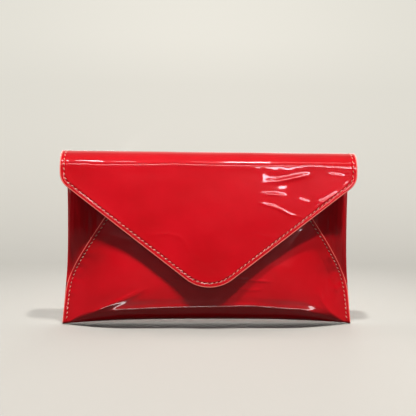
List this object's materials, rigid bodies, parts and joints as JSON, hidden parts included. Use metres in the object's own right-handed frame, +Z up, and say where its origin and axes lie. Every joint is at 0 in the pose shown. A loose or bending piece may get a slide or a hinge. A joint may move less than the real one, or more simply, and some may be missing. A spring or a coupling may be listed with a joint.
{
  "type": "clutch purse",
  "caption": "Envelope clutch in patent leather: bulged pouch with folded side gussets and a pointed flap that wraps over a round spine and closes on a magnetic snap.",
  "frame": {"origin": "on the ground under the middle of the purse's bounding box, standing on its bottom fold", "axes": "+Z up towards the crown, +X towards the viewer's right when looking at the front, the front and the flap face -Y"},
  "size_m": [0.27, 0.0324, 0.1588],
  "materials": {
    "patent_leather": "high gloss patent coat over smooth leather",
    "patent_leather_thin": "high gloss patent coat, skived thinner",
    "edge_paint": "rounded glossy edge paint",
    "lining_cloth": "fine woven satin lining",
    "stiffener_board": "fibre board",
    "thread": "waxed polyester thread",
    "snap_metal": "nickel plated pressed steel",
    "magnet": "sintered ferrite"
  },
  "bodies": {
    "body": {"front_panel": "patent_leather", "back_panel": "patent_leather", "left_gusset": "patent_leather_thin", "right_gusset": "patent_leather_thin", "front_board": "stiffener_board", "front_lining": "lining_cloth", "front_mouth_facing": "patent_leather_thin", "back_board": "stiffener_board", "back_lining": "lining_cloth", "slip_pocket": "lining_cloth", "slip_pocket_trim": "patent_leather_thin", "snap_socket_case": "snap_metal", "snap_magnet_ring": "magnet", "snap_socket_plate": "snap_metal", "snap_socket_washer": "snap_metal", "left_seam_stitching": "thread", "right_seam_stitching": "thread", "mouth_stitching": "thread", "pocket_stitching": "thread"},
    "spine": {"spine_panel": "patent_leather", "spine_lining": "lining_cloth", "spine_stitching": "thread"},
    "flap": {"flap_panel": "patent_leather", "flap_board": "stiffener_board", "flap_edge_paint": "edge_paint", "snap_stud": "snap_metal", "snap_stud_washer": "snap_metal", "flap_lining": "lining_cloth", "flap_stitching": "thread", "flap_lining_stitching": "thread"}
  },
  "joints": [
    {"name": "spine_fold", "type": "hinge", "parent": "body", "child": "spine", "pos_m": [0, 0.01272, 0.15529], "axis": [-1, 0, 0], "range_deg": [0, 100]},
    {"name": "flap_fold", "type": "hinge", "parent": "spine", "child": "flap", "pos_m": [0, -0.00715, 0.15529], "axis": [-1, 0, 0], "range_deg": [0, 100]}
  ],
  "couplings": [
    {"joint": "flap_fold", "follows": "spine_fold", "ratio": 1}
  ]
}
